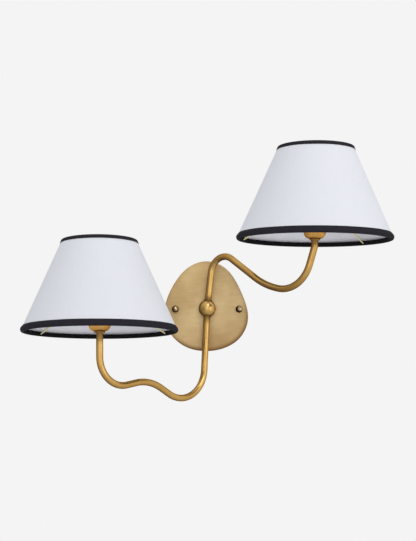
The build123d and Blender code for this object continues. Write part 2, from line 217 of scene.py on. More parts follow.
# ---------------------------------------------------------------- shared surface effects
STREAK_SCALE, STREAK_SHARE = 240.0, 0.7
SPECK_SCALE = 900.0
RAGGEDNESS = 0.8  # how much the clouds break up the edge of the tarnish and painted shade


def build_patina_and_shade():
    """Hand-rubbed brass: cloudy tone, faint brushed streaks, dark specks, and the mark's darkening,
    which is tarnish and painted shade.
    """
    tree, given, result = shader_group(
        "patina_and_shade",
        {
            "Place": ("Vector", None),
            "Polished": ("Color", (0.6, 0.4, 0.16, 1)),
            "Aged": ("Color", (0.4, 0.25, 0.09, 1)),
            "Dark": ("Color", (0.08, 0.05, 0.03, 1)),
            "Cloud size": ("Float", 60.0),
            "Streak stretch": ("Vector", (1, 1, 6)),
            "Tarnish and shade": ("Float", 0.0),
            "Specks": ("Float", 0.3),
            "Smooth": ("Float", 0.3),
            "Rough": ("Float", 0.45),
        },
        {"Color": "Color", "Roughness": "Float", "Height": "Float"},
    )
    cloudy = clouds(tree, given["Place"], given["Cloud size"], 4)
    streaks = clouds(tree, stretch(tree, given["Place"], given["Streak stretch"]), STREAK_SCALE, 5)
    specks = clouds(tree, given["Place"], SPECK_SCALE, 3)
    tone = sum_up(tree, "SUBTRACT", ramp(tree, cloudy, 0.34, 0.68), STREAK_SHARE / 2)
    tone = sum_up(tree, "MULTIPLY_ADD", streaks, STREAK_SHARE, tone, clamp=True)
    ragged = sum_up(tree, "MULTIPLY_ADD", cloudy, RAGGEDNESS, -RAGGEDNESS / 2)
    ragged = sum_up(tree, "MULTIPLY", ragged, given["Tarnish and shade"])
    tarnish_and_shade = sum_up(tree, "ADD", given["Tarnish and shade"], ragged, clamp=True)
    spots = sum_up(tree, "MULTIPLY", ramp(tree, specks, 0.62, 0.78), given["Specks"])
    darkness = sum_up(tree, "MAXIMUM", tarnish_and_shade, spots)
    rubbed = blend_colours(tree, tone, given["Aged"], given["Polished"])
    tree.links.new(blend_colours(tree, darkness, rubbed, given["Dark"]), result["Color"])
    matt = blend(tree, tone, given["Rough"], given["Smooth"])
    tree.links.new(sum_up(tree, "MULTIPLY_ADD", darkness, 0.25, matt), result["Roughness"])
    tree.links.new(sum_up(tree, "MULTIPLY_ADD", streaks, 0.6, specks), result["Height"])
    return tree


def build_weave():
    """Plain weave on a flat pattern in metres: thread height, and a faint slub in the tone."""
    tree, given, result = shader_group(
        "weave",
        {"Place": ("Vector", None), "Threads per metre": ("Float", 1700.0), "Slub": ("Float", 0.5)},
        {"Height": "Float", "Tone": "Float"},
    )
    scaled = put(
        tree,
        "ShaderNodeVectorMath",
        {0: given["Place"], "Scale": given["Threads per metre"]},
        operation="SCALE",
    ).outputs[0]
    parts = put(tree, "ShaderNodeSeparateXYZ", {0: scaled}).outputs
    waves = [sum_up(tree, "SINE", sum_up(tree, "MULTIPLY", parts[k], math.pi)) for k in (0, 1)]
    bends = [sum_up(tree, "ABSOLUTE", wave) for wave in waves]
    over = put(tree, "ShaderNodeTexChecker", {"Vector": scaled, "Scale": 1.0}).outputs["Fac"]
    threads = blend(tree, over, *bends)
    slubs = [clouds(tree, stretch(tree, scaled, way), 0.9) for way in ((1, 0.03, 1), (0.03, 1, 1))]
    slub = sum_up(tree, "MULTIPLY", sum_up(tree, "ADD", *slubs), 0.5)
    tree.links.new(sum_up(tree, "MULTIPLY_ADD", slub, given["Slub"], threads), result["Height"])
    tree.links.new(ramp(tree, slub, 0.35, 0.65), result["Tone"])
    return tree


def build_fine_grain():
    """Moulded or plated surface: fine even grain and a slow change of tone."""
    tree, given, result = shader_group(
        "fine_grain",
        {
            "Place": ("Vector", None),
            "Grain size": ("Float", 1500.0),
            "Base": ("Color", (0.6, 0.6, 0.6, 1)),
            "Second": ("Color", (0.5, 0.5, 0.5, 1)),
            "Smooth": ("Float", 0.3),
            "Rough": ("Float", 0.5),
        },
        {"Color": "Color", "Roughness": "Float", "Height": "Float"},
    )
    share = ramp(tree, clouds(tree, given["Place"], 70.0), 0.35, 0.65)
    tree.links.new(blend_colours(tree, share, given["Base"], given["Second"]), result["Color"])
    tree.links.new(blend(tree, share, given["Smooth"], given["Rough"]), result["Roughness"])
    tree.links.new(clouds(tree, given["Place"], given["Grain size"]), result["Height"])
    return tree


PATINA_AND_SHADE = build_patina_and_shade()
WEAVE = build_weave()
FINE_GRAIN = build_fine_grain()


# ---------------------------------------------------------------- materials
def brass(name, polished, aged, dark, cloud, streak, smooth, rough, specks, bump, shows_tarnish_and_shade=True):
    """Aged brass; cloud is its patches' scale and streak stretches its brush marks."""
    made, tree, shader = material(name)
    values = {
        "Place": object_place(tree),
        "Polished": (*polished, 1),
        "Aged": (*aged, 1),
        "Dark": (*dark, 1),
        "Cloud size": cloud,
        "Streak stretch": streak,
        "Specks": specks,
        "Smooth": smooth,
        "Rough": rough,
    }
    # the mark holds tarnish and painted shade
    if shows_tarnish_and_shade:
        values["Tarnish and shade"] = attribute(tree, "tarnish_and_shade")
    out = use_group(tree, PATINA_AND_SHADE, values)
    shader.inputs["Metallic"].default_value = 1.0
    shader.inputs["Specular Tint"].default_value = (0.55, 0.4, 0.22, 1)
    finish_surface(tree, shader, out["Color"], out["Height"], bump, out["Roughness"])
    return made


def grained(name, base, second, smooth, rough, metallic=0.0, grain=1500.0, bump=0.01):
    """A plain moulded, plated or painted surface."""
    made, tree, shader = material(name)
    values = {
        "Place": object_place(tree),
        "Grain size": grain,
        "Base": (*base, 1),
        "Second": (*second, 1),
        "Smooth": smooth,
        "Rough": rough,
    }
    out = use_group(tree, FINE_GRAIN, values)
    shader.inputs["Metallic"].default_value = metallic
    finish_surface(tree, shader, out["Color"], out["Height"], bump, out["Roughness"])
    return made


def woven(name, light, deep, threads, bump, rough, sheen, specular, turn=0.0, painted_shade_colour=None):
    """Cloth on its flat pattern, cut at a turn in degrees; the optional last colour is painted shade,
    used where the cloth faces in towards the axis.
    """
    made, tree, shader = material(name)
    place = put(tree, "ShaderNodeMapping", {"Vector": put(tree, "ShaderNodeUVMap").outputs[0]})
    place.inputs["Rotation"].default_value = (0, 0, math.radians(turn))
    values = {"Place": place.outputs[0], "Threads per metre": threads, "Slub": 0.6}
    out = use_group(tree, WEAVE, values)
    colour = blend_colours(tree, out["Tone"], (*deep, 1), (*light, 1))
    # painted shade: the darker colour where the cloth faces in, the lit one where it faces out
    if painted_shade_colour:
        colour = blend_colours(tree, attribute(tree, "lit_side_share"), (*painted_shade_colour, 1), colour)
    shader.inputs["Roughness"].default_value = rough
    shader.inputs["Sheen Weight"].default_value = sheen
    shader.inputs["Specular IOR Level"].default_value = specular
    finish_surface(tree, shader, colour, out["Height"], bump)
    return made


ARM_BRASS = brass(
    "arm_brass", polished=(0.585, 0.362, 0.115), aged=(0.505, 0.293, 0.085), dark=(0.135, 0.064, 0.02),
    cloud=30, streak=(1, 1, 0.3), smooth=0.16, rough=0.22, specks=0.02, bump=0.003,
)
BALL_BRASS = brass(
    "ball_brass", polished=(0.64, 0.42, 0.155), aged=(0.56, 0.35, 0.115), dark=(0.11, 0.06, 0.023),
    cloud=40, streak=(1, 1, 1), smooth=0.26, rough=0.31, specks=0.02, bump=0.01,
)
PLATE_BRASS = brass(
    "plate_brass", polished=(0.575, 0.425, 0.222), aged=(0.465, 0.32, 0.15), dark=(0.22, 0.105, 0.03),
    cloud=16, streak=(0.22, 1, 1.6), smooth=0.4, rough=0.48, specks=0.08, bump=0.01,
)
CUP_BRASS = brass(
    "cup_brass", polished=(0.66, 0.36, 0.10), aged=(0.50, 0.26, 0.065), dark=(0.10, 0.05, 0.02),
    cloud=70, streak=(1, 1, 5), smooth=0.26, rough=0.36, specks=0.1, bump=0.02,
)
NUT_BRASS = brass(
    "nut_brass", polished=(0.56, 0.42, 0.25), aged=(0.42, 0.29, 0.15), dark=(0.05, 0.025, 0.012),
    cloud=90, streak=(1, 1, 1), smooth=0.2, rough=0.28, specks=0.08, bump=0.02,
)
PLAIN_BRASS = brass(
    "plain_brass", polished=(0.72, 0.56, 0.28), aged=(0.6, 0.44, 0.2), dark=(0.2, 0.12, 0.05),
    cloud=60, streak=(1, 1, 4), smooth=0.2, rough=0.34, specks=0.3, bump=0.02, shows_tarnish_and_shade=False,
)
WIRE_BRASS = grained("wire_brass", (0.78, 0.73, 0.42), (0.70, 0.64, 0.34), 0.22, 0.34, metallic=1.0)
ZINC = grained("zinc_steel", (0.62, 0.62, 0.60), (0.5, 0.51, 0.5), 0.3, 0.46, metallic=1.0, grain=900)
GREEN_STEEL = grained("green_steel", (0.05, 0.34, 0.12), (0.03, 0.25, 0.09), 0.25, 0.4)
HOLDER_PLASTIC = grained("holder_plastic", (0.84, 0.82, 0.76), (0.79, 0.77, 0.70), 0.4, 0.55, bump=0.02)
LINER = grained("shade_liner", (0.85, 0.85, 0.90), (0.82, 0.82, 0.875), 0.5, 0.6, grain=700)
BULB_GLASS = grained("bulb_glass", (0.93, 0.93, 0.9), (0.9, 0.9, 0.87), 0.3, 0.4, grain=2500)
SHADE_CLOTH = woven(
    "shade_cloth", light=(0.765, 0.78, 0.815), deep=(0.735, 0.75, 0.79), threads=1900,
    bump=0.05, rough=0.85, sheen=0.1, specular=0.25,
)
# its last colour is painted shade on the inward-facing fold
TRIM_CLOTH = woven(
    "trim_cloth", light=(0.0305, 0.0278, 0.035), deep=(0.0215, 0.0198, 0.025), threads=2200,
    bump=0.09, rough=0.8, sheen=0.0, specular=0.02, turn=45, painted_shade_colour=(0.0095, 0.009, 0.0105),
)


# ---------------------------------------------------------------- mesh helpers
def block(inner, outer, low, high):
    """The section of a plain ring, as (radius, height) corners."""
    return [(inner, low), (outer, low), (outer, high), (inner, high)]


def soften(points, radius, closed=True, steps=3):
    """Rounds the corners of a chain of (radius, height) points."""
    count, most = len(points), 0.45  # most: the share of a side that one rounding may take
    out = []
    for k, point in enumerate(points):
        here = Vector(point)
        if not closed and k in (0, count - 1):
            out.append(here)
            continue
        before = Vector(points[k - 1]) - here
        after = Vector(points[(k + 1) % count]) - here
        start = here + before.normalized() * min(radius, before.length * most)
        end = here + after.normalized() * min(radius, after.length * most)
        for step in range(steps + 1):
            share = step / steps
            out.append(start.lerp(here, share).lerp(here.lerp(end, share), share))
    return [(point.x, point.y) for point in out]


def turned(profile, sides, ring=True, wobble=None):
    """Turns a profile of (radius, height) points about Z. ring joins its last point to its first.

    wobble gives a point's own (radius, height) from its place in the profile and its turn.
    """
    verts, faces, rows = [], [], []
    for k, (radius, height) in enumerate(profile):
        if radius < TINY:
            rows.append([len(verts)] * sides)
            verts.append((0.0, 0.0, height))
            continue
        rows.append(list(range(len(verts), len(verts) + sides)))
        for step in range(sides):
            turn = 2 * math.pi * step / sides
            out, up = wobble(k, turn, radius, height) if wobble else (radius, height)
            verts.append((out * math.cos(turn), out * math.sin(turn), up))
    pairs = list(zip(rows, rows[1:])) + ([(rows[-1], rows[0])] if ring else [])
    for low, high in pairs:
        for step in range(sides):
            after = (step + 1) % sides
            face = [low[step], low[after], high[after], high[step]]
            face = [v for n, v in enumerate(face) if v not in face[:n]]
            if len(face) > 2:
                faces.append(face)
    return verts, faces


def hexagon(across, thick, bore, foot=0.0):
    """A six-sided nut with its corners turned off at both faces."""
    half, chamfer = across / 2, 0.45
    face_r, top = half * 0.97, foot + thick
    profile = [(face_r, foot), (half, foot + chamfer), (half, top - chamfer), (face_r, top),
               (bore, top), (bore, foot)]

    def six_sides(k, turn, radius, height):
        wedge = turn % (math.pi / 3) - math.pi / 6
        return (radius / math.cos(wedge) if k in (1, 2) else radius), height

    return turned(profile, 72, wobble=six_sides)


def moved(shape, matrix):
    verts, faces = shape
    return [matrix @ Vector(v) for v in verts], faces


def joined(*shapes):
    verts, faces = [], []
    for more_verts, more_faces in shapes:
        start = len(verts)
        verts += list(more_verts)
        faces += [[v + start for v in face] for face in more_faces]
    return verts, faces


def spline_loop(points, count):
    """count points, evenly spaced, on a smooth closed curve through the given (x, z) points."""
    loop = np.array(points)
    size, fine_steps = len(loop), 60
    spans = np.linalg.norm(np.roll(loop, -1, axis=0) - loop, axis=1)
    lines = np.zeros((size, size))
    pulls = np.zeros((size, 2))
    for k in range(size):
        before, after = spans[k - 1], spans[k]
        lines[k, k - 1] += after
        lines[k, k] += 2 * (before + after)
        lines[k, (k + 1) % size] += before
        ahead = (loop[(k + 1) % size] - loop[k]) / after
        behind = (loop[k] - loop[k - 1]) / before
        pulls[k] = 3 * (after * behind + before * ahead)
    slopes = np.linalg.solve(lines, pulls)
    fine = []
    for k in range(size):
        start, end = loop[k], loop[(k + 1) % size]
        leave, arrive = slopes[k] * spans[k], slopes[(k + 1) % size] * spans[k]
        for t in np.linspace(0, 1, fine_steps, endpoint=False):
            fine.append(
                start * (2 * t**3 - 3 * t**2 + 1)
                + leave * (t**3 - 2 * t**2 + t)
                + end * (3 * t**2 - 2 * t**3)
                + arrive * (t**3 - t**2)
            )
    fine = np.array(fine + [fine[0]])
    along = np.concatenate([[0], np.cumsum(np.linalg.norm(np.diff(fine, axis=0), axis=1))])
    wanted = np.linspace(0, along[-1], count, endpoint=False)
    return np.stack([np.interp(wanted, along, fine[:, k]) for k in (0, 1)], axis=1)


def inset_loop(loop, distance):
    """The loop, which runs anticlockwise in (x, z), moved inwards by distance."""
    ahead = np.roll(loop, -1, axis=0) - np.roll(loop, 1, axis=0)
    ahead /= np.linalg.norm(ahead, axis=1)[:, None]
    return loop + distance * np.stack([-ahead[:, 1], ahead[:, 0]], axis=1)


def circle_loop(x, z, radius, count=32):
    turns = np.linspace(0, 2 * math.pi, count, endpoint=False)
    return np.stack([x + radius * np.cos(turns), z + radius * np.sin(turns)], axis=1)


def stamped(outline, holes, outside, inside=()):
    """A sheet-metal piece across the wall, from rows of its rim as (inset, distance from the wall).

    outside runs from the wall to the front face. inside, for a pan, runs from its floor back to
    the wall. The holes go through the front face and the floor, or the back of a flat piece.
    """
    verts, faces = [], []

    def row(loop, out):
        verts.extend((x, -out, z) for x, z in loop)
        return list(range(len(verts) - len(loop), len(verts)))

    def strip(first, second):
        for k in range(len(first)):
            after = (k + 1) % len(first)
            faces.append([first[k], first[after], second[after], second[k]])

    outer = [row(inset_loop(outline, inset), out) for inset, out in outside]
    inner = [row(inset_loop(outline, inset), out) for inset, out in inside]
    for rims in (outer, inner, inner[-1:] + outer[:1]):
        for first, second in zip(rims, rims[1:]):
            strip(first, second)
    front, back = [outer[-1]], [(inner or outer)[0]]
    for hole in holes:
        front.append(row(hole, outside[-1][1]))
        back.append(row(hole, (inside or outside)[0][1]))
        strip(front[-1], back[-1])
    for loops in (front, back):
        flat = [[Vector((verts[v][0], verts[v][2], 0)) for v in loop] for loop in loops]
        order = [v for loop in loops for v in loop]
        faces.extend([order[k] for k in corner] for corner in tessellate_polygon(flat))
    return verts, faces


@contextmanager
def editing(mesh):
    """The mesh as an editable one, written back at the end."""
    work = bmesh.new()
    work.from_mesh(mesh)
    yield work
    work.to_mesh(mesh)
    work.free()


def mesh_of(name, shape):
    """A mesh in metres from a shape in millimetres, its normals made to point outwards."""
    verts, faces = shape
    mesh = bpy.data.meshes.new(name)
    mesh.from_pydata([tuple(c * MM for c in v) for v in verts], [], faces)
    with editing(mesh) as work:
        bmesh.ops.remove_doubles(work, verts=work.verts, dist=TINY / 10)
        bmesh.ops.recalc_face_normals(work, faces=work.faces)
    return mesh


def add_mesh(target, *others):
    """Joins other meshes into target."""
    with editing(target) as work:
        for mesh in others:
            work.from_mesh(mesh)
    return target


def mark(mesh, name, rule):
    """Writes a number for each point, which rule works out from its place in millimetres and normal."""
    values = [rule(v.co / MM, v.normal) if callable(rule) else rule for v in mesh.vertices]
    mesh.attributes.new(name, "FLOAT", "POINT").data.foreach_set("value", values)


def fade(value, low, high):
    """Smooth step from 0 at low to 1 at high; low may be the larger."""
    share = min(1.0, max(0.0, (value - low) / (high - low)))
    return share * share * (3 - 2 * share)


def painted_side_shade(normal):
    """Painted shade by facing: none on the side towards the lamps, most on the far side."""
    return 0.85 * fade(normal.dot(PAINTED_LIGHT_SIDE), 0.78, 0.1)


def show(name, mesh, finish, body="wall_frame", nodes=(), crease=35.0):
    """Puts a finished mesh in the scene, on its body, standing for its CAD nodes."""
    mesh.shade_smooth()
    mesh.set_sharp_from_angle(angle=math.radians(crease))
    mesh.materials.clear()
    mesh.materials.append(finish)
    made = bpy.data.objects.new(name, mesh)
    bpy.context.scene.collection.objects.link(made)
    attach(made, body)
    if nodes:
        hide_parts(*nodes)
    return made


def outwards(x=0.0, out=0.0, z=0.0, unit=1.0):
    """Turns a piece made along +Z to point out of the wall at (x, z), starting out from it."""
    return Matrix.Translation(Vector((x, -out, z)) * unit) @ FACING_WALL


def wall_piece(name, shape, finish, node, tarnish_and_shade=None):
    """A piece of the wall frame from a shape in millimetres, with a number or rule for its darkening,
    which is tarnish and, on some pieces, painted shade.
    """
    mesh = mesh_of(name, shape)
    if tarnish_and_shade:
        mark(mesh, "tarnish_and_shade", tarnish_and_shade)
    show(name, mesh, finish, nodes=[node])


# ---------------------------------------------------------------- Geometry Nodes
def geometry_group(name, **inputs):
    """An empty Geometry Nodes tree; inputs map a name, with _ for a space, to a socket kind."""
    tree = bpy.data.node_groups.new(name, "GeometryNodeTree")
    tree.interface.new_socket("Geometry", in_out="INPUT", socket_type="NodeSocketGeometry")
    for label, kind in (*inputs.items(), ("Material", "Material")):
        label = label.replace("_", " ")
        tree.interface.new_socket(label, in_out="INPUT", socket_type="NodeSocket" + kind)
    tree.interface.new_socket("Geometry", in_out="OUTPUT", socket_type="NodeSocketGeometry")
    return tree, tree.nodes.new("NodeGroupInput").outputs, tree.nodes.new("NodeGroupOutput").inputs


def finish_group(tree, given, result, geometry):
    """Ends a tree with Realize Instances and Set Material."""
    real = put(tree, "GeometryNodeRealizeInstances", {0: geometry})
    sockets = {"Geometry": real.outputs[0], "Material": given["Material"]}
    painted = put(tree, "GeometryNodeSetMaterial", sockets)
    tree.links.new(painted.outputs[0], result["Geometry"])
    return tree


def build_bent_tube():
    """A tube along the object's own corner points, each rounded by its bend radius."""
    tree, given, result = geometry_group(
        "bent_tube", Tube_radius="Float", Bore_radius="Float", Bend_step="Int", Sides="Int"
    )
    line = put(tree, "GeometryNodeMeshToCurve", {"Mesh": given["Geometry"]})
    bend = put(tree, "GeometryNodeInputNamedAttribute", {"Name": "bend_radius"}, data_type="FLOAT")
    rounded = put(
        tree,
        "GeometryNodeFilletCurve",
        {"Curve": line.outputs[0], "Radius": bend.outputs[0], "Count": given["Bend step"]},
        mode="POLY",
    )
    hollow = put(tree, "FunctionNodeCompare", {"A": given["Bore radius"], "B": 0.0}).outputs[0]
    solid = put(tree, "FunctionNodeBooleanMath", {0: hollow}, operation="NOT").outputs[0]
    tubes = []
    for label, capped in (("Tube radius", solid), ("Bore radius", False)):
        sockets = {"Resolution": given["Sides"], "Radius": given[label]}
        section = put(tree, "GeometryNodeCurvePrimitiveCircle", sockets).outputs[0]
        sockets = {"Curve": rounded.outputs[0], "Profile Curve": section, "Fill Caps": capped}
        tubes.append(put(tree, "GeometryNodeCurveToMesh", sockets).outputs[0])
    inside = put(tree, "GeometryNodeFlipFaces", {"Mesh": tubes[1]}).outputs[0]
    sockets = {"Switch": hollow, "True": inside}
    bore = put(tree, "GeometryNodeSwitch", sockets, input_type="GEOMETRY").outputs[0]
    both = put(tree, "GeometryNodeJoinGeometry")
    for part in (tubes[0], bore):
        tree.links.new(part, both.inputs[0])
    return finish_group(tree, given, result, both.outputs[0])


def build_round_the_axis():
    """Copies of the object's own mesh, evenly spaced about Z."""
    tree, given, result = geometry_group("round_the_axis", Count="Int", First_turn="Float")
    places = put(tree, "GeometryNodePoints", {"Count": given["Count"], "Radius": 0.001})
    step = sum_up(tree, "DIVIDE", 2 * math.pi, given["Count"])
    turn = sum_up(tree, "MULTIPLY", put(tree, "GeometryNodeInputIndex").outputs[0], step)
    turn = sum_up(tree, "ADD", turn, given["First turn"])
    spin = put(tree, "ShaderNodeCombineXYZ", {"Z": turn}).outputs[0]
    sockets = {"Points": places.outputs[0], "Instance": given["Geometry"], "Rotation": spin}
    copies = put(tree, "GeometryNodeInstanceOnPoints", sockets)
    return finish_group(tree, given, result, copies.outputs[0])


def build_screw_thread():
    """A ridge that winds up about Z, from the height Foot."""
    tree, given, result = geometry_group(
        "screw_thread", Radius="Float", Ridge="Float", Pitch="Float", Turns="Float", Foot="Float"
    )
    sockets = {
        "Resolution": 40,
        "Rotations": given["Turns"],
        "Start Radius": given["Radius"],
        "End Radius": given["Radius"],
        "Height": sum_up(tree, "MULTIPLY", given["Pitch"], given["Turns"]),
    }
    wind = put(tree, "GeometryNodeCurveSpiral", sockets).outputs[0]
    sockets = {"Resolution": 6, "Radius": given["Ridge"]}
    section = put(tree, "GeometryNodeCurvePrimitiveCircle", sockets).outputs[0]
    sockets = {"Curve": wind, "Profile Curve": section, "Fill Caps": True}
    swept = put(tree, "GeometryNodeCurveToMesh", sockets).outputs[0]
    lift = put(tree, "ShaderNodeCombineXYZ", {"Z": given["Foot"]}).outputs[0]
    raised = put(tree, "GeometryNodeTransform", {"Geometry": swept, "Translation": lift})
    return finish_group(tree, given, result, raised.outputs[0])


BENT_TUBE = build_bent_tube()
ROUND_THE_AXIS = build_round_the_axis()
SCREW_THREAD = build_screw_thread()


def grown(name, mesh, group, **inputs):
    """Runs a Geometry Nodes tree on a mesh and returns the result as a plain mesh."""
    worker = bpy.data.objects.new(name, mesh)
    bpy.context.scene.collection.objects.link(worker)
    modifier = worker.modifiers.new(group.name, "NODES")
    modifier.node_group = group
    sockets = [item for item in group.interface.items_tree if item.in_out == "INPUT"]
    named = {item.name: item.identifier for item in sockets}
    for label, value in inputs.items():
        modifier[named[label.replace("_", " ")]] = value
    evaluated = worker.evaluated_get(bpy.context.evaluated_depsgraph_get())
    made = bpy.data.meshes.new_from_object(evaluated)
    worker.modifiers.remove(modifier)
    bpy.data.objects.remove(worker)
    made.name = name
    return made


def path_mesh(corners, bends):
    """Corner points joined by edges, in millimetres, with a bend radius for each."""
    mesh = bpy.data.meshes.new("path")
    steps = [(k, k + 1) for k in range(len(corners) - 1)]
    mesh.from_pydata([tuple(Vector(corner) * MM) for corner in corners], steps, [])
    layer = mesh.attributes.new("bend_radius", "FLOAT", "POINT")
    layer.data.foreach_set("value", [bend * MM for bend in bends])
    return mesh


def thread_mesh(name, radius, foot, top, pitch, finish):
    """A wound ridge that stands on the surface of a rod or in a bore."""
    ridge = pitch * 0.32
    return grown(
        name,
        bpy.data.meshes.new("empty"),
        SCREW_THREAD,
        Radius=(radius - ridge) * MM,
        Ridge=ridge * MM,
        Pitch=pitch * MM,
        Turns=(top - foot) / pitch,
        Foot=foot * MM,
        Material=finish,
    )


# ---------------------------------------------------------------- camera, light and floor
CAMERA_AT = (0.0, -1.62, -0.118)
CAMERA_LENS = 76.5
CAMERA_SHIFT = (0.0015, 0.2277)
LAMPS_LOOK_AT = (0.0, -0.1, 0.03)
# name: (place, (width, height), power, colour)
LAMPS = {
    "key_light": ((0.45, -1.7, 1.2), (0.6, 1.3), 8.0, (1.0, 0.985, 0.96)),
    "side_card": ((2.1, -1.85, 0.15), (1.5, 2.4), 12.0, (1.0, 0.99, 0.97)),
    "front_light": ((-0.2, -2.1, -0.2), (1.4, 1.0), 3.0, (0.96, 0.98, 1.0)),
}
AMBIENT, AMBIENT_STRENGTH = (0.96, 0.975, 1.0, 1), 0.74
BACKDROP = (0.905, 0.905, 0.905, 1)
FLOOR_Z = -900.0
FLOOR_R = 2200.0


def build_camera():
    data = bpy.data.cameras.new("camera")
    data.lens = CAMERA_LENS
    data.shift_x, data.shift_y = CAMERA_SHIFT
    camera = bpy.data.objects.new("camera", data)
    camera.location = CAMERA_AT
    camera.rotation_euler = (math.radians(90), 0, 0)
    bpy.context.scene.collection.objects.link(camera)
    bpy.context.scene.camera = camera
    bpy.context.scene.view_settings.view_transform = "Standard"


def build_lights():
    """Three soft boxes and an even surround, with a pale backdrop that only the eye sees."""
    for name, (place, size, power, colour) in LAMPS.items():
        data = bpy.data.lights.new(name, "AREA")
        data.shape = "RECTANGLE"
        data.size, data.size_y = size
        data.energy = power
        data.color = colour
        lamp = bpy.data.objects.new(name, data)
        lamp.location = place
        aim = Vector(place) - Vector(LAMPS_LOOK_AT)
        lamp.rotation_euler = aim.to_track_quat("Z", "Y").to_euler()
        lamp.visible_camera = False
        bpy.context.scene.collection.objects.link(lamp)
    world = bpy.data.worlds.new("studio")
    bpy.context.scene.world = world
    world.use_nodes = True
    tree = world.node_tree
    tree.nodes.clear()
    seen = put(tree, "ShaderNodeLightPath").outputs
    share = sum_up(tree, "MAXIMUM", seen["Is Camera Ray"], seen["Is Glossy Ray"])
    share = sum_up(tree, "MAXIMUM", share, seen["Is Transmission Ray"])
    light = put(tree, "ShaderNodeBackground", {"Color": AMBIENT, "Strength": AMBIENT_STRENGTH})
    backdrop = put(tree, "ShaderNodeBackground", {"Color": BACKDROP, "Strength": 1.0})
    sockets = {0: share, 1: light.outputs[0], 2: backdrop.outputs[0]}
    mixed = put(tree, "ShaderNodeMixShader", sockets)
    put(tree, "ShaderNodeOutputWorld", {"Surface": mixed.outputs[0]})


def build_floor():
    """A pale round floor, well below the light, that fades at its rim and is clear from below."""
    mesh = mesh_of("floor", turned([(FLOOR_R, FLOOR_Z), (0.0, FLOOR_Z)], 64, ring=False))
    if mesh.polygons[0].normal.z < 0:
        mesh.flip_normals()
    finish, tree, shader = material("floor_paint")
    grain = clouds(tree, object_place(tree), 40.0)
    colour = blend_colours(tree, grain, (0.86, 0.86, 0.86, 1), (0.88, 0.88, 0.88, 1))
    tree.links.new(colour, shader.inputs["Base Color"])
    shader.inputs["Roughness"].default_value = 0.9
    flat = stretch(tree, object_place(tree), (1, 1, 0))
    out = put(tree, "ShaderNodeVectorMath", {0: flat}, operation="LENGTH").outputs["Value"]
    edge = ramp(tree, out, FLOOR_R * MM * 0.98, FLOOR_R * MM * 0.4)
    behind = put(tree, "ShaderNodeNewGeometry").outputs["Backfacing"]
    clear = sum_up(tree, "MULTIPLY", edge, sum_up(tree, "SUBTRACT", 1.0, behind))
    tree.links.new(clear, shader.inputs["Alpha"])
    mesh.materials.append(finish)
    floor = bpy.data.objects.new("floor", mesh)
    bpy.context.scene.collection.objects.link(floor)


# ---------------------------------------------------------------- plate, ball and arms
def build_plate():
    """A pan with a rolled front edge and three holes, darker along its rim, most along the lower rim as
    painted shade, and darker towards the lower right.
    """
    outline = spline_loop(PLATE_OUTLINE[::-1], 240)
    outside = [(0.0, 0.0)]
    for a in np.linspace(0, math.pi / 2, 6):
        outside.append((PLATE_EDGE * (1 - math.cos(a)), PLATE_DEPTH - PLATE_EDGE * (1 - math.sin(a))))
    outside += [(2.6, PLATE_DEPTH), (6.0, PLATE_DEPTH)]  # extra rows, which carry the darker rim and its painted shade
    inside = [(PLATE_WALL, PLATE_DEPTH - PLATE_WALL), (PLATE_WALL, 0.0)]
    places = ((0.0, NIPPLE_R), (-STUD_X, STUD_HOLE_R), (STUD_X, STUD_HOLE_R))
    holes = [circle_loop(x, 0.0, radius) for x, radius in places]
    mesh = mesh_of("back_plate_pan", stamped(outline, holes, outside, inside))
    with editing(mesh) as work:
        # points all over the front, so that the darkening can change across it
        long_edges = [edge for edge in work.edges if edge.calc_length() > 7 * MM]
        bmesh.ops.subdivide_edges(work, edges=long_edges, cuts=6, use_grid_fill=False)
        bmesh.ops.triangulate(work, faces=[face for face in work.faces if len(face.verts) > 4])

    rim = KDTree(len(outline))
    for k, (x, z) in enumerate(outline):
        rim.insert((x, 0, z), k)
    rim.balance()

    # Painted shade along the rim, deepest at its lower side, over a light darkening of the whole rim;
    # the face grows darker towards the lower right.
    def darker(point, normal):
        over_face = 0.32 * fade(point.z - 0.4 * point.x, 5, -70)
        to_rim = rim.find((point.x, 0, point.z))[2]
        along_rim = 0.1 + 0.5 * fade(point.z - 0.3 * point.x, 20, -45)
        return over_face + along_rim * fade(to_rim, 5.0, 0.5)

    mark(mesh, "tarnish_and_shade", darker)
    show("back_plate_pan", mesh, PLATE_BRASS, nodes=["back_plate"])


def arm_point(side, reach, height):
    """A point in the upright plane of an arm, from the ball's middle."""
    head = HEAD_AT[side]
    level = Vector((head.x, head.y + BALL_OUT, 0)).normalized()
    return BALL_AT + level * reach + Vector((0, 0, height))


def way_out(side):
    """The way an arm leaves the ball."""
    reach, height, _ = BENDS[side][0]
    return (arm_point(side, reach, height) - BALL_AT).normalized()


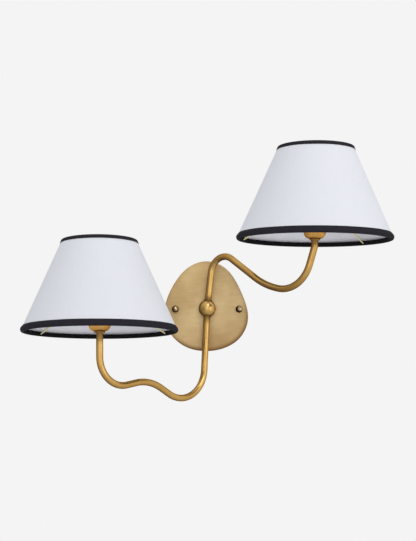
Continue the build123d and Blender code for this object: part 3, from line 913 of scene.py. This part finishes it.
def build_arm(name, side, node):
    """A bent tube from the ball to the head, open at both ends, dark at both ends, with painted shade
    on the side turned from the lamps.
    """
    head = HEAD_AT[side]
    corners = [arm_point(side, reach, height) for reach, height, _ in BENDS[side][:-1]]
    corners.append(head + HEAD_UP[side] * (BENDS[side][-1][1] - head.z))
    corners = [BALL_AT + way_out(side) * TUBE_SEAT, *corners, head]
    mesh = grown(
        name,
        path_mesh(corners, [0.0, *(bend for _, _, bend in BENDS[side]), 0.0]),
        BENT_TUBE,
        Tube_radius=TUBE_R * MM,
        Bore_radius=TUBE_BORE_R * MM,
        Bend_step=36,
        Sides=32,
        Material=ARM_BRASS,
    )
    with editing(mesh) as work:
        ends = [[], []]
        for edge in work.edges:
            if edge.is_boundary:
                middle = (edge.verts[0].co + edge.verts[1].co) / (2 * MM)
                ends[(middle - head).length < (middle - corners[0]).length].append(edge)
        for rims in ends:
            bmesh.ops.bridge_loops(work, edges=rims)
        bmesh.ops.recalc_face_normals(work, faces=work.faces)
        long_edges = [edge for edge in work.edges if edge.calc_length() > 4 * MM]
        bmesh.ops.subdivide_edges(work, edges=long_edges, cuts=8, use_grid_fill=True)

    # Dark necks at both ends, and painted shade where the tube faces away from the lamps.
    def darker(point, normal):
        at_ball = 0.95 * fade((point - BALL_AT).length, 21, 12)
        at_head = 0.45 * fade((point - head).length, 16, 5)
        return max(at_ball, at_head, painted_side_shade(normal))

    mark(mesh, "tarnish_and_shade", darker)
    show(name, mesh, ARM_BRASS, nodes=[node])


def build_ball():
    """The turned ball, with a flat where each tube enters and one at the back."""
    arc = [math.radians(a) for a in np.linspace(-90, 90, 49)[1:-1]]
    profile = [(BALL_R * math.cos(a), BALL_R * math.sin(a)) for a in arc]
    profile = [(0.0, -BALL_R), *profile, (0.0, BALL_R)]
    mesh = mesh_of("turned_ball", moved(turned(profile, 72, ring=False), FACING_WALL))
    necks = [way_out(side) for side in SIDES]
    with editing(mesh) as work:
        for way in (*necks, Vector((0, 1, 0))):
            cut = bmesh.ops.bisect_plane(
                work, geom=work.verts[:] + work.edges[:] + work.faces[:],
                plane_co=way * BALL_FLAT * MM, plane_no=way, clear_outer=True,
            )["geom_cut"]
            edges = [part for part in cut if isinstance(part, bmesh.types.BMEdge)]
            bmesh.ops.contextual_create(work, geom=edges)
        bmesh.ops.recalc_face_normals(work, faces=work.faces)

    # Dark necks where the tubes enter, and painted shade where the ball faces away from the lamps.
    def darker(point, normal):
        at_neck = max(fade((point.normalized() - way).length, 0.7, 0.45) for way in necks)
        return max(0.85 * at_neck, painted_side_shade(normal))

    mark(mesh, "tarnish_and_shade", darker)
    mesh.transform(Matrix.Translation(BALL_AT * MM))
    show("turned_ball", mesh, BALL_BRASS, nodes=["center_ball"])


def build_neck_rings():
    """A thin rounded ring where each tube enters the ball."""
    section = soften(block(TUBE_R, 5.8, BALL_FLAT, BALL_FLAT + 1.4), 0.5)
    rings = []
    for side in SIDES:
        turn = way_out(side).to_track_quat("Z", "Y").to_matrix().to_4x4()
        rings.append(moved(turned(section, 48), Matrix.Translation(BALL_AT) @ turn))
    wall_piece("neck_rings", joined(*rings), ARM_BRASS, "arm_collars", 0.8)


def build_ball_post():
    """The short post with a flared foot that holds the ball off the plate."""
    foot_r, foot_top, neck_r, neck_foot = 7.0, PLATE_DEPTH + 1.6, 5.9, PLATE_DEPTH + 2.6
    top = BALL_OUT - BALL_FLAT
    profile = [(NIPPLE_R, PLATE_DEPTH), (foot_r, PLATE_DEPTH), (foot_r, foot_top), (neck_r, neck_foot),
               (neck_r, top), (NIPPLE_R, top)]
    post = moved(turned(soften(profile, 0.4), 48), outwards())
    wall_piece("turned_post", post, ARM_BRASS, "ball_post", 0.3)


def build_cap_nuts():
    """Ball nuts: a short skirt with a soft foot and a round dome, hollow for the stud."""
    radius, skirt, depth = 4.75, 3.4, 5.0
    hollow = [(0.0, depth), (STUD_R, depth), (STUD_R, 0)]
    foot = [(radius * 0.8, 0), (radius * 0.97, 0.5), (radius, 1.2)]
    arc = np.linspace(0, math.pi / 2, 16)[:-1]
    dome = [(radius * math.cos(a), skirt + radius * math.sin(a)) for a in arc]
    nut = turned([*hollow, *foot, *dome, (0.0, skirt + radius)], 48, ring=False)
    nuts = joined(*(moved(nut, outwards(x, PLATE_DEPTH)) for x in (-STUD_X, STUD_X)))

    # Painted shade: a dark ring where the dome turns away from the lamps' side.
    def darker(point, normal):
        return 0.95 * fade(normal.dot(PAINTED_LIGHT_SIDE), 0.9, 0.5)

    wall_piece("ball_nuts", nuts, NUT_BRASS, "cap_nuts", darker)


# ---------------------------------------------------------------- hidden fasteners
def build_bracket():
    """Stamped cross with a round hub, two screw slots, tapped holes and a wiring eye."""
    upright_half, upright_end = 10.0, 52.0
    level_half, level_end = 7.0, 50.5
    hub, corner_r, eye_r = 19.0, 3.0, 6.5
    slot_half, slot_r, slot_z = 14.3 / 2, 2.4, 79.4 / 2
    quarter = [
        (level_end, level_half),
        (math.sqrt(hub**2 - level_half**2), level_half),
        (upright_half, math.sqrt(hub**2 - upright_half**2)),
        (upright_half, upright_end),
    ]
    outline = []
    for right, up in ((1, 1), (-1, 1), (-1, -1), (1, -1)):
        points = [(right * x, up * z) for x, z in quarter]
        outline.extend(points if right == up else points[::-1])
    fine = []
    for point, after in zip(outline, outline[1:] + outline[:1]):
        fine.append(point)
        on_hub = all(abs(math.hypot(*end) - hub) < 0.1 for end in (point, after))
        if on_hub and point[0] * after[0] > 0 and point[1] * after[1] > 0:
            turns = np.linspace(math.atan2(*point[::-1]), math.atan2(*after[::-1]), 8)[1:-1]
            fine.extend((hub * math.cos(a), hub * math.sin(a)) for a in turns)
    loop = np.array(soften(fine, corner_r, steps=4))
    loop = loop[np.linalg.norm(loop - np.roll(loop, 1, axis=0), axis=1) > 0.01]
    holes = [circle_loop(0, 0, eye_r, 40)]
    holes += [circle_loop(x, z, STUD_R, 24) for x, z in ((STUD_X, 0), (-STUD_X, 0), (0, GROUND_Z))]
    for z in (slot_z, -slot_z):
        slot = circle_loop(0, 0, slot_r, 24)
        slot[:, 1] += np.where(slot[:, 1] >= 0, 1, -1) * (slot_half - slot_r) + z
        holes.append(slot)
    burr = 0.25
    layers = [(burr, 0.0), (0.0, burr), (0.0, BRACKET_THICK - burr), (burr, BRACKET_THICK)]
    wall_piece("stamped_bracket", stamped(loop, holes, layers), ZINC, "mounting_bracket")


def build_threaded_rod(name, radius, bore, low, high, pitch, places, node):
    """A rod or tube with a wound thread, copied to each x place on the wall."""
    section = soften(block(bore, radius - pitch * 0.45, low, high), 0.25, closed=bore > 0)
    rod = mesh_of(name, turned(section, 32, ring=bore > 0))
    add_mesh(rod, thread_mesh(name, radius, low + pitch, high - pitch, pitch, ZINC))
    copies = []
    for x in places:
        copies.append(rod.copy())
        copies[-1].transform(outwards(x, unit=MM))
    show(name, add_mesh(bpy.data.meshes.new(name), *copies), ZINC, nodes=[node])


def build_fasteners():
    """Everything between the bracket and the plate, seen from behind and below."""
    studs = (-STUD_X, STUD_X)
    build_threaded_rod("long_studs", STUD_R, 0, 0, 19.0, 0.8, studs, "mounting_studs")
    build_threaded_rod("hollow_nipple", NIPPLE_R, 3.4, 3.6, 24.5, 0.95, [0.0], "center_nipple")
    jam = hexagon(8.7, 2.4, STUD_R)
    jams = joined(*(moved(jam, outwards(x, BRACKET_THICK)) for x in studs))
    wall_piece("jam_nuts", jams, ZINC, "stud_jam_nuts")
    pan_floor = PLATE_DEPTH - PLATE_WALL
    washer = turned(soften(block(NIPPLE_R, 8.5, pan_floor - 1, pan_floor), 0.25), 48)
    wall_piece("plate_washer", moved(washer, outwards()), ZINC, "nipple_washer")
    nut = moved(hexagon(14.3, 2.6, NIPPLE_R), outwards(out=pan_floor - 3.6))
    wall_piece("plate_nut", nut, ZINC, "nipple_nut")

    flange_r, flange = 4.6, 0.8
    rim = [(flange_r - 0.2, 0.0), (flange_r, 0.2), (flange_r, flange - 0.2), (flange_r - 0.2, flange)]
    screw = joined(
        turned([(0.0, 0.0), *rim, (0.0, flange)], 40, ring=False),
        turned(block(0.0, STUD_R, -BRACKET_THICK, 0.0), 24, ring=False),
        hexagon(6.4, 2.0, 1.2, flange),
        turned([(0.0, 1.6), (1.25, 1.9), (1.25, 2.7), (0.0, 2.2)], 24, ring=False),
    )
    place = outwards(0.0, BRACKET_THICK, GROUND_Z)
    wall_piece("earthing_screw", moved(screw, place), GREEN_STEEL, "ground_screw")


# ---------------------------------------------------------------- lamp heads
def head_place(side):
    """Moves a mesh from an upright axis at the origin to the end of its arm."""
    lean = Vector((0, 0, 1)).rotation_difference(HEAD_UP[side]).to_matrix().to_4x4()
    return Matrix.Translation(HEAD_AT[side] * MM) @ lean


def head_piece(side, name, shape, finish, node, body="wall_frame", tarnish_and_shade=None):
    """A piece of a head from a shape in millimetres; its darkening, tarnish only on the heads, is a
    rule of the height.
    """
    name = side + "_" + name
    mesh = mesh_of(name, shape)
    if tarnish_and_shade:
        mark(mesh, "tarnish_and_shade", lambda point, normal: tarnish_and_shade(point.z))
    mesh.transform(head_place(side))
    return show(name, mesh, finish, body, [side + "_" + node])


def add_thread(side, name, radius, foot, top, pitch, finish, body="wall_frame"):
    """A wound thread on a head's axis, as a piece of its own."""
    name = side + "_" + name
    mesh = thread_mesh(name, radius, foot, top, pitch, finish)
    mesh.transform(head_place(side))
    show(name, mesh, finish, body)


def build_cup(side):
    """The spun cup on its small seat, with the dark joint line between them."""
    seat = soften([(HEAD_BORE_R, 0.0), (6.6, 0.0), (7.0, 0.5), (7.0, CUP_FOOT_Z),
                   (HEAD_BORE_R, CUP_FOOT_Z)], 0.3)
    head_piece(side, "seat_ring", turned(seat, 48), CUP_BRASS, "cup_seat",
               tarnish_and_shade=lambda height: 0.5 + 0.4 * fade(height, 1.2, 2.0))
    bowl = [(10.6, 2.9), (12.4, 4.7), (13.7, 7.4), (14.5, 11.0)]
    lining = [(r - CUP_WALL, z + CUP_WALL) for r, z in reversed(bowl)]
    floor = CUP_FOOT_Z + CUP_WALL
    profile = [(HEAD_BORE_R, CUP_FOOT_Z), (CUP_FOOT_R, CUP_FOOT_Z), *bowl, (CUP_RIM_R, CUP_RIM_Z),
               (CUP_RIM_R - CUP_WALL, CUP_RIM_Z), *lining, (CUP_FOOT_R, floor), (HEAD_BORE_R, floor)]
    head_piece(side, "spun_cup", turned(soften(profile, 1.0), 72), CUP_BRASS, "socket_cup",
               tarnish_and_shade=lambda height: 0.75 * fade(height, 3.0, 2.0) + 0.3 * fade(height, 24, 29))


def build_holder(side):
    """Moulded holder with its thread, the screw shell, the contact and the nipple."""
    foot, body_r, flange = 3.0, 12.0, 36.0
    core, floor = HOLDER_THREAD_R - 0.75, SHELL_FLOOR - 3.0
    profile = [
        (HEAD_BORE_R, foot), (CUP_FOOT_R, foot), (body_r, foot + 6.0), (body_r, CUP_RIM_Z),
        (CUP_RIM_R, CUP_RIM_Z), (CUP_RIM_R, flange), (LOCK_RING_R, flange), (LOCK_RING_R, FITTER_Z),
        (core, FITTER_Z), (core, HOLDER_TOP), (SHELL_R, HOLDER_TOP), (SHELL_R, floor),
        (HEAD_BORE_R, floor),
    ]
    head_piece(side, "moulded_holder", turned(soften(profile, 0.4), 72), HOLDER_PLASTIC, "lamp_holder")
    add_thread(side, "holder_thread", HOLDER_THREAD_R, FITTER_Z + 2.0, HOLDER_TOP - 1.5, 2.2,
               HOLDER_PLASTIC)
    build_lock_ring(side)
    shell = soften(block(SHELL_R - 0.5, SHELL_R, SHELL_FLOOR, HOLDER_TOP - 0.5), 0.15)
    head_piece(side, "rolled_shell", turned(shell, 48), PLAIN_BRASS, "screw_shell")
    contact = [(0.0, floor), (SHELL_R, floor), (SHELL_R, floor + 1.0), (2.4, floor + 1.2),
               (2.2, floor + 2.2), (0.0, floor + 2.2)]
    head_piece(side, "sprung_contact", turned(contact, 40, ring=False), PLAIN_BRASS, "center_contact")
    nipple = soften(block(2.4, 3.3, -9.0, 8.0), 0.2)
    head_piece(side, "threaded_nipple", turned(nipple, 40), ZINC, "head_nipple")


def build_lock_ring(side):
    """The ring that holds the shade down, with thirty finger ribs."""
    low, high = FITTER_Z + FITTER_THICK, FITTER_Z + FITTER_THICK + 5.0
    band = turned(soften(block(HOLDER_THREAD_R + 0.05, LOCK_RING_R, low, high), 0.5), 72)
    ring = mesh_of("lock_ring_band", band)
    rib = soften(block(0.0, 0.75, low + 0.3, high - 0.3), 0.3, closed=False)
    rib = mesh_of("lock_ring_rib", turned(rib, 10, ring=False))
    rib.transform(Matrix.Translation((LOCK_RING_R * MM, 0, 0)))
    add_mesh(ring, grown("lock_ring_ribs", rib, ROUND_THE_AXIS, Count=30, First_turn=0.0,
                         Material=HOLDER_PLASTIC))
    ring.transform(head_place(side))
    show(side + "_ribbed_ring", ring, HOLDER_PLASTIC, nodes=[side + "_lock_ring"])


def build_bulb(side):
    """Opal globe on a 12 mm screw base."""
    body = side + "_bulb"
    top, globe_r, neck_z = 101.0, 22.0, HOLDER_TOP + 0.3
    neck = [(0.0, neck_z), (6.5, neck_z), (6.6, neck_z + 2.0), (7.4, neck_z + 5.0)]
    arc = np.linspace(math.radians(-62), math.pi / 2, 36)[:-1]
    globe = [(globe_r * math.cos(a), top - globe_r + globe_r * math.sin(a)) for a in arc]
    globe = turned([*neck, *globe, (0.0, top)], 72, ring=False)
    head_piece(side, "opal_globe", globe, BULB_GLASS, "bulb_globe", body)
    foot, core = SHELL_FLOOR - 0.8, BULB_THREAD_R - 0.7
    base = [(0.0, foot), (2.0, foot), (2.4, foot + 0.5), (2.6, foot + 1.0), (4.6, foot + 3.2),
            (core, foot + 3.6), (core, neck_z - 0.6), (5.9, neck_z), (0.0, neck_z)]
    head_piece(side, "screw_base", turned(base, 48, ring=False), PLAIN_BRASS, "bulb_base", body)
    add_thread(side, "base_thread", BULB_THREAD_R, foot + 5.0, neck_z - 3.0, 2.5, PLAIN_BRASS, body)


# ---------------------------------------------------------------- shades
def on_shade(height, outside=0.0):
    """(radius, height) of the cone, moved level away from the axis by outside."""
    return (SHADE_BOTTOM_R - SHADE_SLOPE * height + outside, height)


def flat_pattern(mesh, seam_turn=math.pi / 2):
    """Gives a cone's faces the UV place, in metres, that they had in the flat cut cloth."""
    apex = SHADE_BOTTOM_R / SHADE_SLOPE
    slant = math.sqrt(1 + SHADE_SLOPE**2)
    sector = SHADE_SLOPE / slant
    layer = mesh.uv_layers.new(name="cloth")
    for face in mesh.polygons:
        middle = face.center
        base = (math.atan2(middle.y, middle.x) - seam_turn) % (2 * math.pi)
        for loop in face.loop_indices:
            point = mesh.vertices[mesh.loops[loop].vertex_index].co
            turn = (math.atan2(point.y, point.x) - seam_turn) % (2 * math.pi)
            turn += 2 * math.pi * round((base - turn) / (2 * math.pi))
            out = (apex - point.z / MM) * slant * MM
            angle = (turn - math.pi) * sector
            layer.data[loop].uv = (out * math.sin(angle), -out * math.cos(angle))


def build_cloth(side):
    """The outer cloth: one piece wound once round, lapped over itself at the back."""
    around, up = 220, 28  # faces round the cone and up it
    lap, seam = 9.0, math.radians(88)
    slack, slack_size = 0.10, 2.2
    low, high = CLOTH_EDGE, SHADE_TALL - CLOTH_EDGE
    verts, faces = [], []
    for level in range(up + 1):
        height = low + (high - low) * level / up
        radius = on_shade(height)[0] - 0.02
        lap_turn = lap / radius
        for step in range(around + 1):
            turn = seam + step / around * (2 * math.pi + lap_turn)
            past = max(0.0, (turn - seam - 2 * math.pi) / lap_turn)
            early = max(0.0, 1 - (turn - seam) / (lap_turn * 1.6))
            lift = CLOTH_THICK * (0.45 * fade(past, -0.02, 0.25) - 0.55 * fade(early, 0, 0.5))
            ring_place = (math.cos(turn) * slack_size, math.sin(turn) * slack_size, height * 0.02)
            out = radius - CLOTH_THICK / 2 + lift + slack * smooth_noise(Vector(ring_place))
            verts.append((out * math.cos(turn), out * math.sin(turn), height))
    for level in range(up):
        for step in range(around):
            corner = level * (around + 1) + step
            faces.append([corner, corner + 1, corner + around + 2, corner + around + 1])
    mesh = mesh_of(side + "_cloth", (verts, faces))
    flat_pattern(mesh)
    mesh.transform(head_place(side))
    made = show(side + "_cloth", mesh, SHADE_CLOTH, side + "_shade", [side + "_shade_shell"])
    wall = made.modifiers.new("cloth thickness", "SOLIDIFY")
    wall.thickness = CLOTH_THICK * MM
    wall.offset = 0.0
    return made


def build_liner(side):
    """The stiff white liner that the cloth is stuck to."""
    heights = np.linspace(CLOTH_EDGE, SHADE_TALL - CLOTH_EDGE, 13)
    outer = [on_shade(z, -CLOTH_THICK - 0.03) for z in heights]
    inner = [on_shade(z, -SHADE_WALL) for z in reversed(heights)]
    head_piece(side, "liner", turned(outer + inner, 160), LINER, "shade_shell", side + "_shade")


def build_binding(side, name, edge, tall, fold, up, crown, node):
    """A padded strip folded over an edge: a full roll round the edge and a flat fold inside.

    tall and fold are its heights outside and inside, up is 1 at the bottom edge and -1 at the
    top, and crown is how far the roll stands out at half its height.
    """
    outer, inner = 0.6 + crown, -(SHADE_WALL + 2 * HOOP_R + 1.8)
    half, round_tall = (outer - inner) / 2, min(4.2, tall * 0.48)
    roll_r = on_shade(edge + up * round_tall)[0] + (outer + inner) / 2
    bulge = 0.8  # below 1 makes the roll's section squarer

    def place(height, outside):
        return on_shade(edge + up * height, outside)

    # up behind the outer fold, round its top edge and down its face, in millimetres out from the cone
    section = [place(tall * 0.6, 0.02), place(tall - 0.3, 0.0), place(tall, 0.18),
               place(tall - 0.15, 0.42), place(tall * 0.82, 0.7 + crown * 0.35),
               place(tall * 0.62, 0.78 + crown * 0.8)]
    for angle in np.linspace(0, math.pi, 13):
        out, down = (math.copysign(abs(f(angle)) ** bulge, f(angle)) for f in (math.cos, math.sin))
        section.append((roll_r + half * out, edge + up * round_tall * (1 - down)))
    # up the inner fold, over its top edge and down to the cloth's own edge
    section += [place(fold * 0.8, inner), place(fold, inner + 0.2), place(fold - 0.1, inner + 0.5),
                place(round_tall, inner + 0.6), place(1.2, inner + 1.6), place(1.2, -2.0),
                place(CLOTH_EDGE, 0.02)]
    profile = soften(section, 0.4, steps=2)
    outer_side = {k for k, (radius, height) in enumerate(profile) if radius > on_shade(height, 0.05)[0]}
    seed = {"left": 3.1, "right": 8.7}[side] + edge

    def waves(turn, count, start):
        return smooth_noise(Vector((math.cos(turn) * count, math.sin(turn) * count, start)))

    def pucker(k, turn, radius, height):
        if k not in outer_side:
            return radius, height
        ripple, slow = waves(turn, 9, seed), waves(turn, 2, seed + 5)
        rise = up * 0.2 * slow * fade(abs(height - edge) / tall, 0.5, 1.0)
        return radius + 0.08 * ripple + 0.05 * slow, height + rise

    # Painted shade: share of the lit colour, 1 where the binding faces out from the axis, 0 where it
    # faces in.
    def painted_lit_side(point, normal):
        away = Vector((point.x, point.y, 0)).normalized()
        return fade(normal.dot(away), -0.3, 0.3)

    mesh = mesh_of(side + name, turned(profile, 300, wobble=pucker))
    flat_pattern(mesh)
    mark(mesh, "lit_side_share", painted_lit_side)
    mesh.transform(head_place(side))
    return show(side + name, mesh, TRIM_CLOTH, side + "_shade", [side + node], crease=80)


def build_hoop(side, name, height, node):
    """A round wire hoop inside a bound edge."""
    middle, _ = on_shade(height, -SHADE_WALL - HOOP_R)
    turns = np.linspace(0, 2 * math.pi, 12, endpoint=False)
    section = [(middle + HOOP_R * math.cos(a), height + HOOP_R * math.sin(a)) for a in turns]
    head_piece(side, name, turned(section, 120), WIRE_BRASS, node, side + "_shade")


def build_spider(side):
    """Three bent wires with a soft weld at each end, set round the axis, and the fitter ring."""
    corners = [on_shade(2.6, -4.0), on_shade(6.0, -9.0), on_shade(14.0, -18.0),
               (FITTER_R - 0.3, FITTER_Z + FITTER_THICK / 2)]
    path = path_mesh([(r, 0, z) for r, z in corners], [0.0, 9.0, 30.0, 0.0])
    wire = grown("wire", path, BENT_TUBE, Tube_radius=WIRE_R * MM, Bore_radius=0.0, Bend_step=10,
                 Sides=14, Material=WIRE_BRASS)
    bead = [(0.0, -1.5), (0.9, -1.2), (1.35, -0.4), (1.35, 0.4), (0.9, 1.2), (0.0, 1.5)]
    bead = turned(bead, 14, ring=False)
    for r, z in (corners[0], corners[-1]):
        add_mesh(wire, mesh_of("weld", moved(bead, Matrix.Translation((r, 0, z)))))
    mesh = grown(side + "_bent_wires", wire, ROUND_THE_AXIS, Count=3,
                 First_turn=math.radians(WIRE_TURN[side]), Material=WIRE_BRASS)
    mesh.transform(head_place(side))
    show(side + "_bent_wires", mesh, WIRE_BRASS, side + "_shade", [side + "_shade_spider"])
    ring = soften(block(FITTER_BORE_R, FITTER_R, FITTER_Z, FITTER_Z + FITTER_THICK), 0.3)
    head_piece(side, "fitter_ring", turned(ring, 72), WIRE_BRASS, "shade_fitter", side + "_shade")


def build_shade(side):
    """Cloth, liner, bindings, hoops and wires."""
    cloth = build_cloth(side)
    build_liner(side)
    top = SHADE_TALL + 0.6
    bindings = [
        build_binding(side, "_bottom_binding", 0.0, 8.7, 5.8, 1, 1.0, "_shade_bottom_trim"),
        build_binding(side, "_top_binding", top, 5.0, 4.2, -1, 0.0, "_shade_top_trim"),
    ]
    build_hoop(side, "bottom_wire", HOOP_GAP + HOOP_R, "shade_bottom_hoop")
    build_hoop(side, "top_wire", SHADE_TALL - HOOP_GAP - HOOP_R, "shade_top_hoop")
    build_spider(side)


build_camera()
build_lights()
build_floor()
build_plate()
build_arm("lower_tube", "left", "lower_arm")
build_arm("upper_tube", "right", "upper_arm")
build_ball()
build_neck_rings()
build_ball_post()
build_cap_nuts()
build_bracket()
build_fasteners()
for side in SIDES:
    build_cup(side)
    build_holder(side)
    build_bulb(side)
    build_shade(side)
